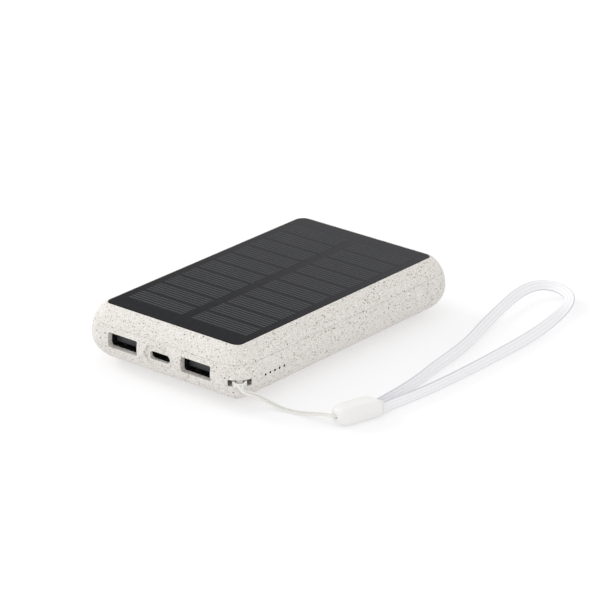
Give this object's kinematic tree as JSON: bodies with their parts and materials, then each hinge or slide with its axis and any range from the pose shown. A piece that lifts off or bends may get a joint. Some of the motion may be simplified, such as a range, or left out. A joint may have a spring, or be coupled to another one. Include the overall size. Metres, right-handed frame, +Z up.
{
  "type": "solar power bank",
  "caption": "Pocket solar power bank in a speckled case, with plug sockets, charge lights, a power button and a wrist lanyard on a corner post.",
  "frame": {"origin": "middle of the case's underside, on the surface it rests on", "axes": "+Z up through the solar panel, -Y towards the face with the sockets, +X towards the side with the charge lights"},
  "size_m": [0.1057, 0.1447, 0.0205],
  "materials": {
    "case": "fine matte, straw-filled plastic with small brown and grey flecks",
    "tape": "adhesive tape",
    "panel_board": "black circuit board",
    "solar_cell": "dark blue-grey silicon with thin silver fingers",
    "panel_cover": "clear satin resin film",
    "wire_red": "insulated wire",
    "wire_black": "insulated wire",
    "pouch": "laminated foil pouch",
    "foam": "closed-cell foam",
    "nickel": "nickel strip",
    "circuit_board": "green solder mask",
    "chip": "moulded package",
    "screw": "zinc plated",
    "socket_shell": "nickel plated sheet",
    "socket_insulator": "moulded black nylon",
    "contact": "gold plated",
    "led": "clear epoxy",
    "inductor": "ferrite",
    "capacitor": "ceramic",
    "switch": "moulded body",
    "plunger": "moulded plunger",
    "cord": "thin braided cord",
    "clasp": "moulded clasp",
    "strap": "flat woven ribbon"
  },
  "bodies": {
    "case": {"upper_shell": "case", "lower_shell": "case", "panel_adhesive": "tape", "panel_board": "panel_board", "solar_cells": "solar_cell", "panel_cover": "panel_cover", "solar_wire_red": "wire_red", "solar_wire_black": "wire_black", "battery_tape": "tape", "battery_cell_lower": "pouch", "cell_tape": "tape", "battery_cell_upper": "pouch", "battery_pad": "foam", "cell_tabs": "nickel", "protection_board": "circuit_board", "protection_chips": "chip", "battery_wire_red": "wire_red", "battery_wire_black": "wire_black", "main_board": "circuit_board", "board_screws": "screw", "usb_a_left_shell": "socket_shell", "usb_a_left_tongue": "socket_insulator", "usb_a_left_contacts": "contact", "usb_a_right_shell": "socket_shell", "usb_a_right_tongue": "socket_insulator", "usb_a_right_contacts": "contact", "usb_c_shell": "socket_shell", "usb_c_tongue": "socket_insulator", "usb_c_contacts": "contact", "usb_c_riser": "socket_insulator", "charge_leds": "led", "power_ic": "chip", "boost_inductor": "inductor", "capacitors": "capacitor", "chip_resistors": "chip", "tactile_switch": "switch"},
    "button": {"power_button": "case", "switch_plunger": "plunger"},
    "lanyard": {"lanyard_cord": "cord", "lanyard_clasp": "clasp", "wrist_strap": "strap"}
  },
  "joints": [
    {"name": "power_press", "type": "slide", "parent": "case", "child": "button", "axis": [1, 0, 0], "range_m": [0, 0.00035], "stiffness_N_per_m": 4000, "springref_m": -0.0002},
    {"name": "lanyard_swing", "type": "hinge", "parent": "case", "child": "lanyard", "pos_m": [0.03092, -0.05212, 0.0094], "axis": [0, 0, 1], "range_deg": [-65, 3]}
  ]
}
